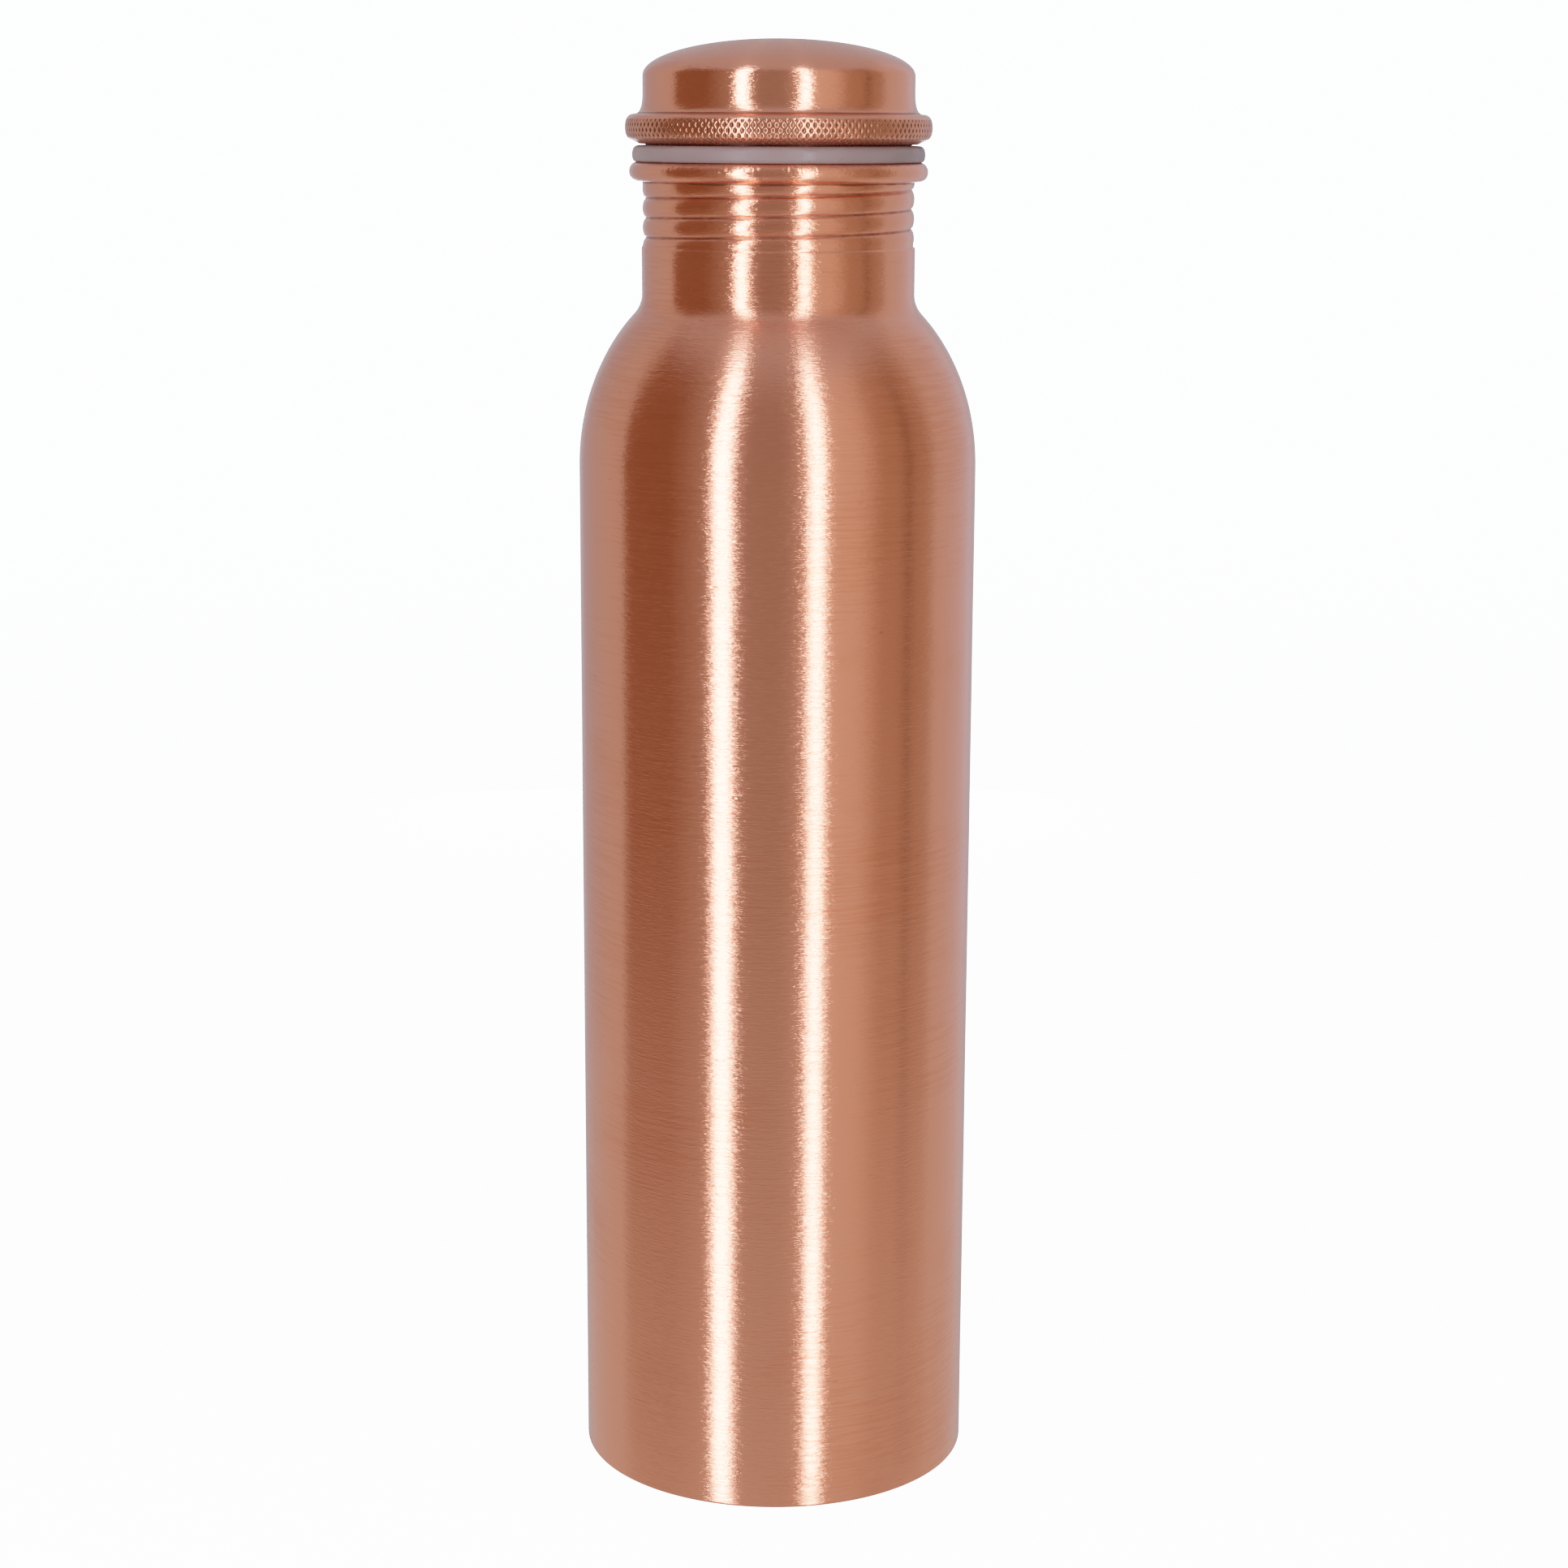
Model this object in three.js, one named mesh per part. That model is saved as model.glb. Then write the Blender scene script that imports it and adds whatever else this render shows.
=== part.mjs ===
// Screw-top copper water bottle, in millimetres, +Z up.
// The origin is the centre of the flat ring that the bottle stands on.
//
// Every metal piece is sheet copper. Its section is a centreline in (radius, height), given
// half the sheet's thickness on either side and turned about the bottle's axis. The neck and the
// lid's plug carry the same right-hand rolled thread, pressed through the sheet so that the
// groove on the neck's outside is the ridge on its inside.

import * as THREE from 'three';

// Sheet and fits
const SHEET = 0.5;
const HALF_SHEET = SHEET / 2;
const GAP = 0.25; // clearance between neighbouring pieces
const SEGMENTS = 40; // facets around each turned piece
const WIDE_STEPS = 7; // facets along a wide curve, a bend and a tight bend of a section
const BEND_STEPS = 3;
const TIGHT_STEPS = 2;
const SAME_POINT = 1e-6; // points closer than this are one point

// Bottle: straight wall, domed shoulder, neck
const BODY_RADIUS = 36.5;
const SHOULDER_START_Z = 190.25;
const SHOULDER_REACH = 29.06; // half-axes of the shoulder's ellipse
const SHOULDER_RISE = 36.2;
const SHOULDER_END_Z = 217.6; // where the ellipse runs into the neck's fillet
const NECK_RADIUS = 24.87;
const NECK_STEP_Z = 229.6; // the neck draws in slightly here, below the thread
const NECK_STEP_HEIGHT = 0.8;

// Mouth: the neck's upper edge curled outwards into a hollow bead
const MOUTH_Z = 244.95;
const MOUTH_RADIUS = 27.05;
const MOUTH_BEAD_HEIGHT = 3.4;
const CURL_END_DEG = -115; // where the curl's free edge stops, beside the neck

// Thread, single start, right hand
const CREST_RADIUS = 24.65; // outside of the neck between grooves
const THREAD_PITCH = 3.5;
const THREAD_DEPTH = 0.65;
const THREAD_PHASE = -8.25; // a groove's height from the mouth, on the +X side
const THREAD_TOP = -3.65; // ends of the thread, from the mouth
const THREAD_BOTTOM = -15.75;
const THREAD_RUNOUT = 1.6; // height over which an end fades out
const THREAD_NARROWING = 4; // power of the cosine wave; a higher one narrows the groove
const ROWS_PER_PITCH = 6;

// Foot: the wall's lower edge folded inwards under a dished base plate
const FOLD_BEND = 0.4;
const FOLD_EDGE_RADIUS = 33.2;
const DISH_RADIUS = 29;
const DISH_RIM_RADIUS = 31.2;
const DISH_EDGE_Z = 3.5;
const DISH_CENTRE_Z = 4.3;
const COVE_BEND = 1; // length of the cove's rounding at its top and foot

// Lid, heights from the mouth
const LID_RADIUS = 24.58;
const LID_HEIGHT = 21.8;
const DOME_RISE = 6.6;
const FLARE_TOP = 12.2;
const FLARE_WIDTH = 1.7;
const BEAD_RADIUS = 27.76; // the grip bead, the lid's widest part
const BEAD_TOP = 8.5;
const BEAD_MIDDLE = 6.15;
const BEAD_TUCK = 4.6; // where the bead starts to turn under
const HEM_OUTER = new THREE.Vector2(26.85, 4.3); // the hem under the bead, along its centreline
const HEM_INNER = new THREE.Vector2(25.1, 3.45);
const GASKET_THICKNESS = 2.65;
const GASKET_RADIUS = 26.5;
const GASKET_ROUND_BELOW = 0.7;
const GASKET_ROUND_ABOVE = 1.3;
const PLUG_RADIUS = CREST_RADIUS - SHEET - GAP;
const PLUG_FLOOR = -15.35; // underside of the plug
const PLUG_CORNER = 1.5;
const PLUG_THREAD_START = 0.2; // above the plug's underside
const PLUG_THREAD_RUNOUT = 0.8;
const PLUG_FLANGE_RADIUS = 26.3;
const PLUG_FLANGE_BEND = 1;

const point = (radius, z) => new THREE.Vector2(radius, z);

// Points along an ellipse, between two angles measured from the +radius direction.
function ellipseArc(centre, reach, rise, startDeg, endDeg, steps) {
  const start = THREE.MathUtils.degToRad(startDeg);
  const end = THREE.MathUtils.degToRad(endDeg);
  return new THREE.EllipseCurve(centre.x, centre.y, reach, rise, start, end, end < start).getPoints(steps);
}

// Points along a rounded corner.
function bend(start, corner, end, steps) {
  return new THREE.QuadraticBezierCurve(start, corner, end).getPoints(steps);
}

// Evenly spaced points up or down a straight wall, close enough to carry the thread.
function threadRows(radius, startZ, endZ) {
  const count = Math.round(Math.abs(endZ - startZ) / THREAD_PITCH * ROWS_PER_PITCH);
  return new THREE.LineCurve(point(radius, startZ), point(radius, endZ)).getPoints(count);
}

function withoutRepeats(points) {
  return points.filter((p, i) => i === 0 || p.distanceTo(points[i - 1]) > SAME_POINT);
}

// Gives a centreline the sheet's thickness. The outline runs along one face and back along the
// other; a sheet that reaches the axis starts and ends there, and any other closes on itself.
function sheetOutline(centrePoints) {
  const line = withoutRepeats(centrePoints);
  const steps = line.slice(1).map((p, i) => p.clone().sub(line[i]).normalize());
  const faces = [-1, 1].map((side) => line.map((p, i) => {
    const before = steps[Math.max(i - 1, 0)];
    const after = steps[Math.min(i, steps.length - 1)];
    const along = before.clone().add(after).normalize();
    const across = p.x === 0 ? point(0, Math.sign(along.x)) : point(-along.y, along.x);
    const reach = side * HALF_SHEET / along.dot(after);
    return p.clone().addScaledVector(across, reach);
  }));
  const outline = [...faces[0], ...faces[1].reverse()];
  if (line[0].x !== 0) {
    outline.push(outline[0].clone());
  }
  return outline;
}

// Presses the thread into a turned piece, everywhere outside the innermost radius. The groove
// climbs one pitch in each turn and fades out at both ends. Heights count from the mouth, and
// originZ is the height of the piece's own origin.
function pressThread(geometry, bottom, bottomRunout, originZ, innermost) {
  const position = geometry.attributes.position;
  for (let i = 0; i < position.count; i += 1) {
    const x = position.getX(i);
    const height = position.getY(i);
    const z = position.getZ(i);
    const fromMouth = height + originZ;
    const radius = Math.hypot(x, z);
    if (radius < innermost) {
      continue;
    }
    const turn = Math.atan2(-z, x) / (2 * Math.PI);
    const phase = (fromMouth - THREAD_PHASE) / THREAD_PITCH - turn;
    const wave = Math.cos(Math.PI * phase) ** THREAD_NARROWING;
    const rise = THREE.MathUtils.smoothstep(fromMouth, bottom, bottom + bottomRunout);
    const fall = THREE.MathUtils.smoothstep(fromMouth, THREAD_TOP - THREAD_RUNOUT, THREAD_TOP);
    const scale = 1 - THREAD_DEPTH * wave * rise * (1 - fall) / radius;
    position.setXYZ(i, x * scale, height, z * scale);
  }
}

function turned(outline) {
  return new THREE.LatheGeometry(outline, SEGMENTS);
}

// The lathe turns about Y; each piece is stood up on Z.
function piece(name, geometry, color, roughness, metalness) {
  const mesh = new THREE.Mesh(geometry, new THREE.MeshStandardMaterial({ color, roughness, metalness }));
  mesh.name = name;
  mesh.rotation.x = Math.PI / 2;
  return mesh;
}

// Fold under the foot, straight wall, shoulder, neck, thread and mouth bead, in one sheet.
function bodyShell() {
  const wall = BODY_RADIUS - HALF_SHEET;
  const neck = NECK_RADIUS - HALF_SHEET;
  const crest = CREST_RADIUS - HALF_SHEET;

  // The shoulder's ellipse, followed until its slope is taken up by the fillet to the neck.
  const centre = point(BODY_RADIUS - SHOULDER_REACH, SHOULDER_START_Z);
  const reach = SHOULDER_REACH - HALF_SHEET;
  const rise = SHOULDER_RISE - HALF_SHEET;
  const endAngle = Math.asin((SHOULDER_END_Z - SHOULDER_START_Z) / rise);
  const shoulderEnd = point(centre.x + reach * Math.cos(endAngle), SHOULDER_END_Z);
  const slope = reach * Math.sin(endAngle) / (rise * Math.cos(endAngle));
  const lean = Math.atan(slope);
  const filletRadius = (shoulderEnd.x - neck) / (1 - Math.cos(lean));
  const filletCornerZ = SHOULDER_END_Z + (shoulderEnd.x - neck) / slope;
  const filletEndZ = SHOULDER_END_Z + filletRadius * Math.sin(lean);

  const foldStart = point(wall - FOLD_BEND, HALF_SHEET);
  const foldEnd = point(wall, HALF_SHEET + FOLD_BEND);
  const curlReach = (MOUTH_RADIUS - CREST_RADIUS) / 2;
  const curlRise = MOUTH_BEAD_HEIGHT / 2 - HALF_SHEET;
  const curlCentre = point(crest + curlReach, MOUTH_Z - MOUTH_BEAD_HEIGHT / 2);

  const centreline = [
    point(FOLD_EDGE_RADIUS, HALF_SHEET),
    ...bend(foldStart, point(wall, HALF_SHEET), foldEnd, TIGHT_STEPS),
    ...ellipseArc(centre, reach, rise, 0, THREE.MathUtils.radToDeg(endAngle), WIDE_STEPS),
    ...bend(shoulderEnd, point(neck, filletCornerZ), point(neck, filletEndZ), BEND_STEPS),
    point(neck, NECK_STEP_Z),
    ...threadRows(crest, NECK_STEP_Z + NECK_STEP_HEIGHT, MOUTH_Z + THREAD_TOP),
    ...ellipseArc(curlCentre, curlReach, curlRise, 180, CURL_END_DEG, WIDE_STEPS),
  ];
  const geometry = turned(sheetOutline(centreline));
  pressThread(geometry, THREAD_BOTTOM, THREAD_RUNOUT, -MOUTH_Z, 0);
  return geometry;
}

// A disc dished upwards, its flat rim resting on the folded edge of the wall.
function basePlate() {
  const rimZ = SHEET + GAP + HALF_SHEET;
  const rimRadius = BODY_RADIUS - SHEET - GAP;
  const dishEdge = point(DISH_RADIUS - COVE_BEND, DISH_EDGE_Z);
  const middle = point((DISH_RADIUS + DISH_RIM_RADIUS) / 2, (DISH_EDGE_Z + rimZ) / 2);
  return turned(sheetOutline([
    ...bend(point(0, DISH_CENTRE_Z), point(DISH_RADIUS / 2, DISH_CENTRE_Z), dishEdge, BEND_STEPS),
    ...bend(dishEdge, point(DISH_RADIUS, DISH_EDGE_Z), middle, TIGHT_STEPS),
    ...bend(middle, point(DISH_RIM_RADIUS, rimZ), point(DISH_RIM_RADIUS + COVE_BEND, rimZ), TIGHT_STEPS),
    point(rimRadius, rimZ),
  ]));
}

// Domed top, straight side, flare and grip bead, hemmed under the plug's flange.
function lidCap() {
  const side = LID_RADIUS - HALF_SHEET;
  const beadSide = BEAD_RADIUS - HALF_SHEET;
  const beadTop = BEAD_TOP - HALF_SHEET;
  const domeCentre = point(0, LID_HEIGHT - DOME_RISE);
  const flareFoot = point(side + FLARE_WIDTH, beadTop);
  const beadMiddle = point(beadSide, BEAD_MIDDLE);
  return turned(sheetOutline([
    ...ellipseArc(domeCentre, side, DOME_RISE - HALF_SHEET, 90, 0, WIDE_STEPS),
    ...bend(point(side, FLARE_TOP), point(side, beadTop), flareFoot, BEND_STEPS),
    ...bend(flareFoot, point(beadSide, beadTop), beadMiddle, BEND_STEPS),
    ...bend(beadMiddle, point(beadSide, BEAD_TUCK), HEM_OUTER, TIGHT_STEPS),
    HEM_INNER,
  ]));
}

// Threaded cup that closes the mouth, with a flange held in the cap's hem.
function lidPlug() {
  const wall = PLUG_RADIUS - HALF_SHEET;
  const floorZ = PLUG_FLOOR + HALF_SHEET;
  const hem = HEM_OUTER.clone().sub(HEM_INNER).normalize();
  const overHem = point(-hem.y, hem.x).multiplyScalar(SHEET + GAP);
  const flangeStart = HEM_INNER.clone().add(overHem);
  const flangeLength = (PLUG_FLANGE_RADIUS - flangeStart.x) / hem.x;
  const flangeEnd = flangeStart.clone().addScaledVector(hem, flangeLength);
  const cornerZ = flangeStart.y - (flangeStart.x - wall) * hem.y / hem.x;
  const geometry = turned(sheetOutline([
    point(0, floorZ),
    ...bend(point(wall - PLUG_CORNER, floorZ), point(wall, floorZ), point(wall, floorZ + PLUG_CORNER), BEND_STEPS),
    ...threadRows(wall, floorZ + PLUG_CORNER, THREAD_TOP),
    ...bend(point(wall, cornerZ - PLUG_FLANGE_BEND), point(wall, cornerZ), flangeStart, TIGHT_STEPS),
    flangeEnd,
  ]));
  pressThread(geometry, PLUG_FLOOR + PLUG_THREAD_START, PLUG_THREAD_RUNOUT, 0, wall - PLUG_CORNER);
  return geometry;
}

// Ring of soft silicone between the mouth bead and the lid, round-edged on its outside.
function lidGasket() {
  const inner = PLUG_RADIUS + GAP;
  const bottom = GAP;
  const top = GAP + GASKET_THICKNESS;
  const middle = point(GASKET_RADIUS, (bottom + top) / 2);
  return turned([
    point(inner, bottom),
    ...bend(point(GASKET_RADIUS - GASKET_ROUND_BELOW, bottom), point(GASKET_RADIUS, bottom), middle, BEND_STEPS),
    ...bend(middle, point(GASKET_RADIUS, top), point(GASKET_RADIUS - GASKET_ROUND_ABOVE, top), BEND_STEPS),
    point(inner, top),
    point(inner, bottom),
  ]);
}

const COPPER = 0xb97c5e;
const BARE_COPPER = 0xb06f50;
const SILICONE = 0xa89ea3;

const bottle = new THREE.Group();
bottle.add(piece('body_shell', bodyShell(), COPPER, 0.32, 1));
bottle.add(piece('base_plate', basePlate(), BARE_COPPER, 0.4, 1));

const lid = new THREE.Group();
lid.position.z = MOUTH_Z;
lid.add(piece('lid_cap', lidCap(), COPPER, 0.3, 1));
lid.add(piece('lid_plug', lidPlug(), BARE_COPPER, 0.4, 1));
lid.add(piece('lid_gasket', lidGasket(), SILICONE, 0.5, 0));

const copperWaterBottle = new THREE.Group();
copperWaterBottle.add(bottle, lid);

export default copperWaterBottle;
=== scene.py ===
"""Visual model of a screw-top copper water bottle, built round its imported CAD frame.

Every piece is a turned surface: an outline in (radius, height) carried round the bottle's axis as rings of
points, with relief such as the thread and the knurl added along the outline's normals. Units are metres.
"""

import math

import bpy
import numpy as np
from mathutils import Matrix, Vector


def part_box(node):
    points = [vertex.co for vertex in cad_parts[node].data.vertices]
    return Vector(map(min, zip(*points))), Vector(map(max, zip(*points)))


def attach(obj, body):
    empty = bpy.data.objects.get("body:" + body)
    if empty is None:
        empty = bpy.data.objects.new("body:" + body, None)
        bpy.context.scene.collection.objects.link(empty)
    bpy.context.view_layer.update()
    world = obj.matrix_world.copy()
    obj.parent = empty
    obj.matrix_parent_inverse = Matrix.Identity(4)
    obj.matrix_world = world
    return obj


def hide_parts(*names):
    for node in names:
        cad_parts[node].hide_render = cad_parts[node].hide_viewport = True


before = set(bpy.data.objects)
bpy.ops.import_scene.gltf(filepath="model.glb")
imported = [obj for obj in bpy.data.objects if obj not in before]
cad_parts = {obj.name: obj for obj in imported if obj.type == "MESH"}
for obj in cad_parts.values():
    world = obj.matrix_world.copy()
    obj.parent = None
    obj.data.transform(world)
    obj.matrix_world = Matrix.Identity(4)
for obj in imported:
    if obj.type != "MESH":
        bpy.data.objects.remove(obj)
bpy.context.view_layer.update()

bl_info = {
    "name": "Copper water bottle",
    "version": (1, 0, 0),
    "blender": (4, 5, 0),
    "location": "View3D > Sidebar > Copper",
    "description": "Builds the wall, base, lid and gasket of a screw-top copper bottle, and its studio",
    "category": "Object",
}

WALL_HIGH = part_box("body_shell")[1]
PLATE_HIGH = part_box("base_plate")[1]
CAP_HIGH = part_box("lid_cap")[1]
PLUG_LOW, PLUG_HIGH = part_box("lid_plug")
GASKET_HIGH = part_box("lid_gasket")[1]
MOUTH_Z = WALL_HIGH.z

MM = 0.001
SAME_POINT = 1e-7
TURN = 2 * math.pi


# Sizes and colours ------------------------------------------------------------------------------


def length(name, description, millimetres):
    return bpy.props.FloatProperty(
        name=name, description=description, default=millimetres * MM,
        unit="LENGTH", subtype="DISTANCE", precision=5,
    )


def share(name, description, default):
    return bpy.props.FloatProperty(
        name=name, description=description, default=default, min=0, max=1, subtype="FACTOR"
    )


def number(name, description, default):
    return bpy.props.FloatProperty(name=name, description=description, default=default, min=0)


def colour(name, description, default):
    return bpy.props.FloatVectorProperty(
        name=name, description=description, default=default, min=0, max=1, size=3, subtype="COLOR"
    )


class WallSizes(bpy.types.PropertyGroup):
    """The bottle's sheet, shoulder, neck and mouth."""

    sheet: length("Sheet", "Thickness of the copper sheet", 0.5)
    shoulder_start: length("Shoulder start", "Height where the straight wall ends", 190.25)
    shoulder_end: length("Shoulder end", "Height where the shoulder meets the neck's fillet", 217.6)
    shoulder_reach: length("Shoulder reach", "Half-axis of the shoulder's ellipse, inwards", 29.06)
    shoulder_rise: length("Shoulder rise", "Half-axis of the shoulder's ellipse, upwards", 36.2)
    neck_radius: length("Neck radius", "Outside of the plain neck", 24.87)
    neck_step: length("Neck step", "Height where the neck draws in for the thread", 229.6)
    crest_radius: length("Crest radius", "Outside of the neck between grooves", 24.65)
    mouth_radius: length("Mouth radius", "Outside of the curled mouth bead", 27.05)
    curl_height: length("Bead height", "Height of the curled mouth bead", 3.4)
    fold_edge: length("Fold edge", "Inner radius of the edge folded under the foot", 33.2)
    ripple: length("Ripple", "Unevenness left in the wall by spinning", 0.006)


class ThreadSizes(bpy.types.PropertyGroup):
    """The rolled thread, with heights from the mouth."""

    pitch: length("Pitch", "Climb in one turn", 3.5)
    phase: length("Phase", "Height of a groove from the mouth, on the +X side", -8.25)
    top: length("Top", "Upper end of the thread", -3.65)
    bottom: length("Bottom", "Lower end of the thread", -15.75)
    runout: length("Run-out", "Height over which an end fades", 1.6)
    crown: length("Crown", "Fall of the rounded ridge towards the groove", 0.44)
    notch: length("Notch", "Depth of the narrow groove below the ridge's edge", 0.12)


class LidSizes(bpy.types.PropertyGroup):
    """The lid's cap, plug and gasket, with heights from the mouth."""

    side_radius: length("Side radius", "Outside of the lid's straight side", 24.58)
    dome_rise: length("Dome rise", "Height of the domed top", 6.6)
    flare_top: length("Flare top", "Where the side starts to flare", 12.2)
    flare_width: length("Flare width", "How far the flare spreads", 1.7)
    bead_top: length("Bead top", "Top of the grip bead", 8.5)
    bead_middle: length("Bead middle", "Widest height of the grip bead", 6.15)
    hem_outer: bpy.props.FloatVectorProperty(
        name="Hem outer", description="Radius and height where the hem starts",
        default=(26.85 * MM, 4.3 * MM), size=2, unit="LENGTH", precision=5,
    )
    hem_inner: bpy.props.FloatVectorProperty(
        name="Hem inner", description="Radius and height of the hem's edge",
        default=(25.1 * MM, 3.45 * MM), size=2, unit="LENGTH", precision=5,
    )
    knurl_cells: bpy.props.IntProperty(
        name="Knurl cells", description="Diamonds round the grip bead", default=131, min=12
    )
    knurl_height: length("Knurl height", "Height of one diamond", 1.89)
    knurl_depth: length("Knurl depth", "Depth of the pressed diamonds", 0.20)
    gasket_inner: length("Gasket inner", "Inner radius of the gasket", 24.05)
    gasket_top: length("Gasket top", "Top of the gasket", 2.96)


class CopperLook(bpy.types.PropertyGroup):
    """The copper's colours and polish."""

    bright: colour("Bright", "Clean brushed copper", (0.90, 0.345, 0.22))
    warm: colour("Warm", "Handled, slightly darkened copper", (0.82, 0.27, 0.15))
    # Besides oxide in the grooves, this colour paints shade: in the thread's grooves, the knurl's pits, the
    # corner under the lid's flare and a shadow line under the mouth bead. It also darkens the handling marks.
    dark: colour("Dark", "Oxide left in grooves", (0.20, 0.08, 0.045))
    roughness: share("Roughness", "Satin finish of the brushed copper", 0.23)
    brushing: share("Brushing", "How much more the brushing blurs across itself", 0.95)
    silicone: colour("Silicone", "Milky silicone", (0.325, 0.21, 0.19))


class StudioLook(bpy.types.PropertyGroup):
    """The light and the camera."""

    strip_light: number("Strips", "Brightness of the two front strip lights", 12)
    surround: number("Surround", "Brightness of the room", 0.66)
    backdrop: number("Backdrop", "Brightness of the background", 4)


# Turned surfaces ----------------------------------------------------------------------------------


def smooth(x, low, high):
    """A cubic step that rises from 0 at low to 1 at high."""
    t = np.clip((x - low) / (high - low), 0, 1)
    return t * t * (3 - 2 * t)


def straight(start, end, count):
    """count equal steps along the line from start to end."""
    t = np.linspace(0, 1, count + 1)[:, None]
    return (1 - t) * np.array(start) + t * np.array(end)


def bend(start, corner, end, count):
    """A quadratic curve from start to end, leaving and arriving along the lines to corner."""
    t = np.linspace(0, 1, count + 1)[:, None]
    return (1 - t) ** 2 * np.array(start) + 2 * t * (1 - t) * np.array(corner) + t ** 2 * np.array(end)


def ellipse(centre, reach, rise, first, last, count):
    """Points on an ellipse between two angles in degrees, counted from the +radius direction."""
    angle = np.radians(np.linspace(first, last, count + 1))[:, None]
    return np.array(centre) + np.hstack([reach * np.cos(angle), rise * np.sin(angle)])


def joined(*parts):
    """Parts of a section end to end, without the points that repeat the one before."""
    line = np.concatenate([np.atleast_2d(part) for part in parts])
    steps = np.linalg.norm(np.diff(line, axis=0), axis=1)
    return line[np.append(True, steps > SAME_POINT)]


def even(line, spacing):
    """The same line with its points at equal distances, about spacing apart."""
    along = distances(line)
    count = max(1, round(along[-1] / spacing))
    at = np.linspace(0, along[-1], count + 1)
    return np.stack([np.interp(at, along, line[:, 0]), np.interp(at, along, line[:, 1])], axis=1)


def distances(line):
    """How far along the line each point is."""
    steps = np.linalg.norm(np.diff(line, axis=0), axis=1)
    return np.append(0, np.cumsum(steps))


def directions(line, closed=False):
    """The unit direction of travel at each point, from its two neighbours."""
    if closed:
        step = np.roll(line, -1, axis=0) - np.roll(line, 1, axis=0)
    else:
        step = np.gradient(line, axis=0)
    return step / np.linalg.norm(step, axis=1)[:, None]


def sheet_outline(line, thickness, cap_steps=4):
    """Gives a centreline half the thickness on either side, along its normals, and rounds a free edge with
    a half circle. The outline runs along the right-hand face and back along the left-hand one. Returns its
    points, the centreline point that each came from, and its side: -1 right, 1 left, 0 a free edge."""
    half = thickness / 2
    along = directions(line)
    left = np.stack([-along[:, 1], along[:, 0]], axis=1)
    on_axis = line[:, 0] < SAME_POINT
    left[on_axis] = np.stack([np.zeros(on_axis.sum()), np.sign(along[on_axis, 0])], axis=1)
    order = np.arange(len(line))
    sweep = np.linspace(-90, 90, cap_steps + 2)[1:-1]

    def free_edge(index, sign):
        angle = np.radians(sweep)[:, None]
        around = np.cos(angle) * sign * along[index] + np.sin(angle) * sign * left[index]
        return line[index] + half * around

    parts = [line - half * left, free_edge(-1, 1), (line + half * left)[::-1]]
    sources = [order, np.full(cap_steps, order[-1]), order[::-1]]
    sides = [np.full(len(line), -1), np.zeros(cap_steps, int), np.full(len(line), 1)]
    if not on_axis[0]:
        parts.append(free_edge(0, -1))
        sources.append(np.zeros(cap_steps, int))
        sides.append(np.zeros(cap_steps, int))
    return np.concatenate(parts), np.concatenate(sources), np.concatenate(sides)


def ring_faces(first_a, count_a, first_b, count_b):
    """Faces between two neighbouring rings, which have equal counts or one a whole multiple of the other.
    Each edge of the finer ring makes a triangle with the coarser ring's nearest point, and each edge of
    the coarser ring one with the finer ring's point where that changes. Returns quads and triangles."""
    if count_a == count_b:
        i = np.arange(count_a)
        j = (i + 1) % count_a
        return np.stack([first_a + i, first_a + j, first_b + j, first_b + i], axis=1), np.empty((0, 3), int)
    fine, coarse = max(count_a, count_b), min(count_a, count_b)
    ratio = fine // coarse
    j = np.arange(fine)
    nearest = (j + ratio // 2) // ratio % coarse
    i = np.arange(coarse if coarse > 1 else 0)
    change = ((i + 1) * ratio - ratio // 2) % fine
    following = (i + 1) % coarse
    if count_b == fine:
        first = np.stack([first_a + nearest, first_b + (j + 1) % fine, first_b + j], axis=1)
        second = np.stack([first_a + i, first_a + following, first_b + change], axis=1)
    else:
        first = np.stack([first_a + j, first_a + (j + 1) % fine, first_b + nearest], axis=1)
        second = np.stack([first_a + change, first_b + following, first_b + i], axis=1)
    return np.empty((0, 4), int), np.concatenate([first, second])


def turned(name, outline, counts, relief=None):
    """A closed surface made by carrying an outline round the axis. Ring i has counts[i] points at the outline
    point's radius and height; a point on the axis is a ring of one. relief gives, for every point at once,
    how far it stands out along the outline's outward normal and how much the materials darken it, from 0 to
    1, for oxide and for painted shade in recesses and under the mouth bead. The outline goes round the solid
    with it on the left."""
    closed = counts[0] > 1
    along = directions(outline, closed)
    outward = np.stack([along[:, 1], -along[:, 0]], axis=1)
    starts = np.append(0, np.cumsum(counts))
    ring = np.repeat(np.arange(len(counts)), counts)
    theta = TURN * (np.arange(starts[-1]) - starts[ring]) / counts[ring]
    radius, height = outline[ring, 0], outline[ring, 1]
    run = distances(outline)[ring]
    recess = np.zeros(len(ring))
    if relief:
        stand, recess = relief(theta, radius, height, run, outward[ring], ring)
        radius = radius + stand * outward[ring, 0]
        height = height + stand * outward[ring, 1]
    points = np.stack([radius * np.cos(theta), radius * np.sin(theta), height], axis=1)

    following = np.append(np.arange(1, len(counts)), 0) if closed else np.arange(1, len(counts))
    faces = [
        ring_faces(starts[a], counts[a], starts[b], counts[b]) for a, b in enumerate(following)
    ]
    quads = np.concatenate([f[0] for f in faces])
    triangles = np.concatenate([f[1] for f in faces])
    mesh = bpy.data.meshes.new(name)
    mesh.from_pydata(points.tolist(), [], quads.tolist() + triangles.tolist())
    mesh.shade_smooth()
    for title, values in (("along", run), ("recess", recess)):
        mesh.attributes.new(title, "FLOAT", "POINT").data.foreach_set("value", values.astype(np.float32))
    piece = bpy.data.objects.new(name, mesh)
    bpy.context.scene.collection.objects.link(piece)
    return piece


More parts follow.
